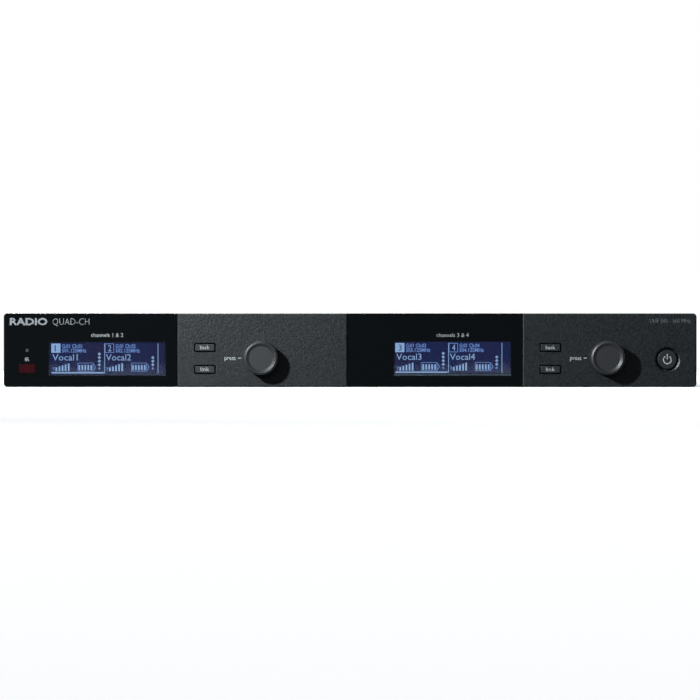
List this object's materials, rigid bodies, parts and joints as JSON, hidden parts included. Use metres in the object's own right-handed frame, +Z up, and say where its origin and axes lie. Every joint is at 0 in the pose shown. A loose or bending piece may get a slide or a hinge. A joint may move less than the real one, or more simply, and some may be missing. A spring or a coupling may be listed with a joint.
{
  "type": "wireless receiver",
  "caption": "One-unit rack wireless receiver: glossy display windows and textured keypads with push dials, flat keys and a power button on the front, sockets behind.",
  "frame": {"origin": "middle of the case's footprint, on the surface that it stands on", "axes": "+X to the right seen from the front, +Y from the front to the rear, +Z up"},
  "size_m": [0.414, 0.316, 0.044],
  "materials": {
    "textured_abs": "moulded, fine spark-eroded grain",
    "window_acrylic": "polished clear acrylic",
    "mask_ink": "black screen print",
    "infrared_filter": "deep red filter acrylic",
    "light_pipe_acrylic": "clear acrylic rod",
    "circuit_board": "green solder resist on glass-epoxy laminate",
    "component_epoxy": "black moulding compound",
    "display_steel": "tinned steel sheet",
    "display_glass": "display glass",
    "backlight_plastic": "white moulded light guide",
    "encoder_metal": "plated steel",
    "acetal": "moulded acetal",
    "knob_abs": "satin moulding",
    "key_abs": "satin moulding",
    "powder_coated_steel": "fine-texture black powder coat",
    "zinc_plated_steel": "bright zinc plate",
    "black_screw_steel": "black zinc",
    "insulating_film": "translucent polyester film",
    "ferrite_and_tape": "yellow polyester tape over a dark ferrite core",
    "capacitor_sleeve": "shrunk vinyl sleeve",
    "heatsink_aluminium": "extruded and clear anodised",
    "nickel_zinc_casting": "nickel-plated die casting",
    "connector_nylon": "black glass-filled nylon",
    "contact_brass": "plated brass",
    "network_shell_steel": "stamped steel",
    "ribbon_pvc": "grey flat-cable insulation",
    "wire_pvc": "wire insulation"
  },
  "bodies": {
    "receiver": {"antenna_contacts": "connector_nylon", "antenna_jacks": "nickel_zinc_casting", "antenna_nuts": "nickel_zinc_casting", "board_screws": "zinc_plated_steel", "board_standoffs": "zinc_plated_steel", "case_screws": "black_screw_steel", "chassis_base": "powder_coated_steel", "connector_screws": "zinc_plated_steel", "display_window_left": "window_acrylic", "display_window_right": "window_acrylic", "ear_nuts": "zinc_plated_steel", "encoder_housing_left": "encoder_metal", "encoder_housing_right": "encoder_metal", "fascia_screws": "zinc_plated_steel", "filter_capacitors": "capacitor_sleeve", "front_board": "circuit_board", "front_bracket": "zinc_plated_steel", "front_fascia": "textured_abs", "front_ribbon": "ribbon_pvc", "infrared_transceiver": "component_epoxy", "infrared_window": "infrared_filter", "jack_bodies": "connector_nylon", "jack_nuts": "nickel_zinc_casting", "lcd_backlights": "backlight_plastic", "lcd_frame_left": "display_steel", "lcd_frame_right": "display_steel", "lcd_glass_left": "display_glass", "lcd_glass_right": "display_glass", "main_board": "circuit_board", "mains_inlet": "connector_nylon", "mains_inlet_blades": "contact_brass", "mains_wires": "wire_pvc", "network_contacts": "contact_brass", "network_jack": "network_shell_steel", "push_switches": "acetal", "radio_shields": "display_steel", "rear_panel": "powder_coated_steel", "signal_chips": "component_epoxy", "status_light_pipe": "light_pipe_acrylic", "supply_board": "circuit_board", "supply_harness": "wire_pvc", "supply_heatsink": "heatsink_aluminium", "supply_insulator": "insulating_film", "top_cover": "powder_coated_steel", "transformer": "ferrite_and_tape", "window_masks": "mask_ink", "xlr_inserts": "connector_nylon", "xlr_pins": "contact_brass", "xlr_shells": "nickel_zinc_casting"},
    "dial_push_left": {"encoder_plunger_left": "acetal"},
    "dial_left": {"encoder_shaft_left": "encoder_metal", "knob_left": "knob_abs"},
    "back_button_left": {"back_key_left": "key_abs"},
    "link_button_left": {"link_key_left": "key_abs"},
    "dial_push_right": {"encoder_plunger_right": "acetal"},
    "dial_right": {"encoder_shaft_right": "encoder_metal", "knob_right": "knob_abs"},
    "back_button_right": {"back_key_right": "key_abs"},
    "link_button_right": {"link_key_right": "key_abs"},
    "power_switch": {"power_button": "key_abs"}
  },
  "joints": [
    {"name": "dial_push_left", "type": "slide", "parent": "receiver", "child": "dial_push_left", "axis": [0, 1, 0], "range_m": [0, 0.0005], "stiffness_N_per_m": 4000, "springref_m": -0.0004},
    {"name": "dial_turn_left", "type": "hinge", "parent": "dial_push_left", "child": "dial_left", "pos_m": [-0.0531, -0.1435, 0.0173], "axis": [0, 1, 0], "continuous": true},
    {"name": "back_press_left", "type": "slide", "parent": "receiver", "child": "back_button_left", "axis": [0, 1, 0], "range_m": [0, 0.0005], "stiffness_N_per_m": 1600, "springref_m": -0.0005},
    {"name": "link_press_left", "type": "slide", "parent": "receiver", "child": "link_button_left", "axis": [0, 1, 0], "range_m": [0, 0.0005], "stiffness_N_per_m": 1600, "springref_m": -0.0005},
    {"name": "dial_push_right", "type": "slide", "parent": "receiver", "child": "dial_push_right", "axis": [0, 1, 0], "range_m": [0, 0.0005], "stiffness_N_per_m": 4000, "springref_m": -0.0004},
    {"name": "dial_turn_right", "type": "hinge", "parent": "dial_push_right", "child": "dial_right", "pos_m": [0.1533, -0.1435, 0.0173], "axis": [0, 1, 0], "continuous": true},
    {"name": "back_press_right", "type": "slide", "parent": "receiver", "child": "back_button_right", "axis": [0, 1, 0], "range_m": [0, 0.0005], "stiffness_N_per_m": 1600, "springref_m": -0.0005},
    {"name": "link_press_right", "type": "slide", "parent": "receiver", "child": "link_button_right", "axis": [0, 1, 0], "range_m": [0, 0.0005], "stiffness_N_per_m": 1600, "springref_m": -0.0005},
    {"name": "power_press", "type": "slide", "parent": "receiver", "child": "power_switch", "axis": [0, 1, 0], "range_m": [0, 0.0005], "stiffness_N_per_m": 1600, "springref_m": -0.0005}
  ]
}
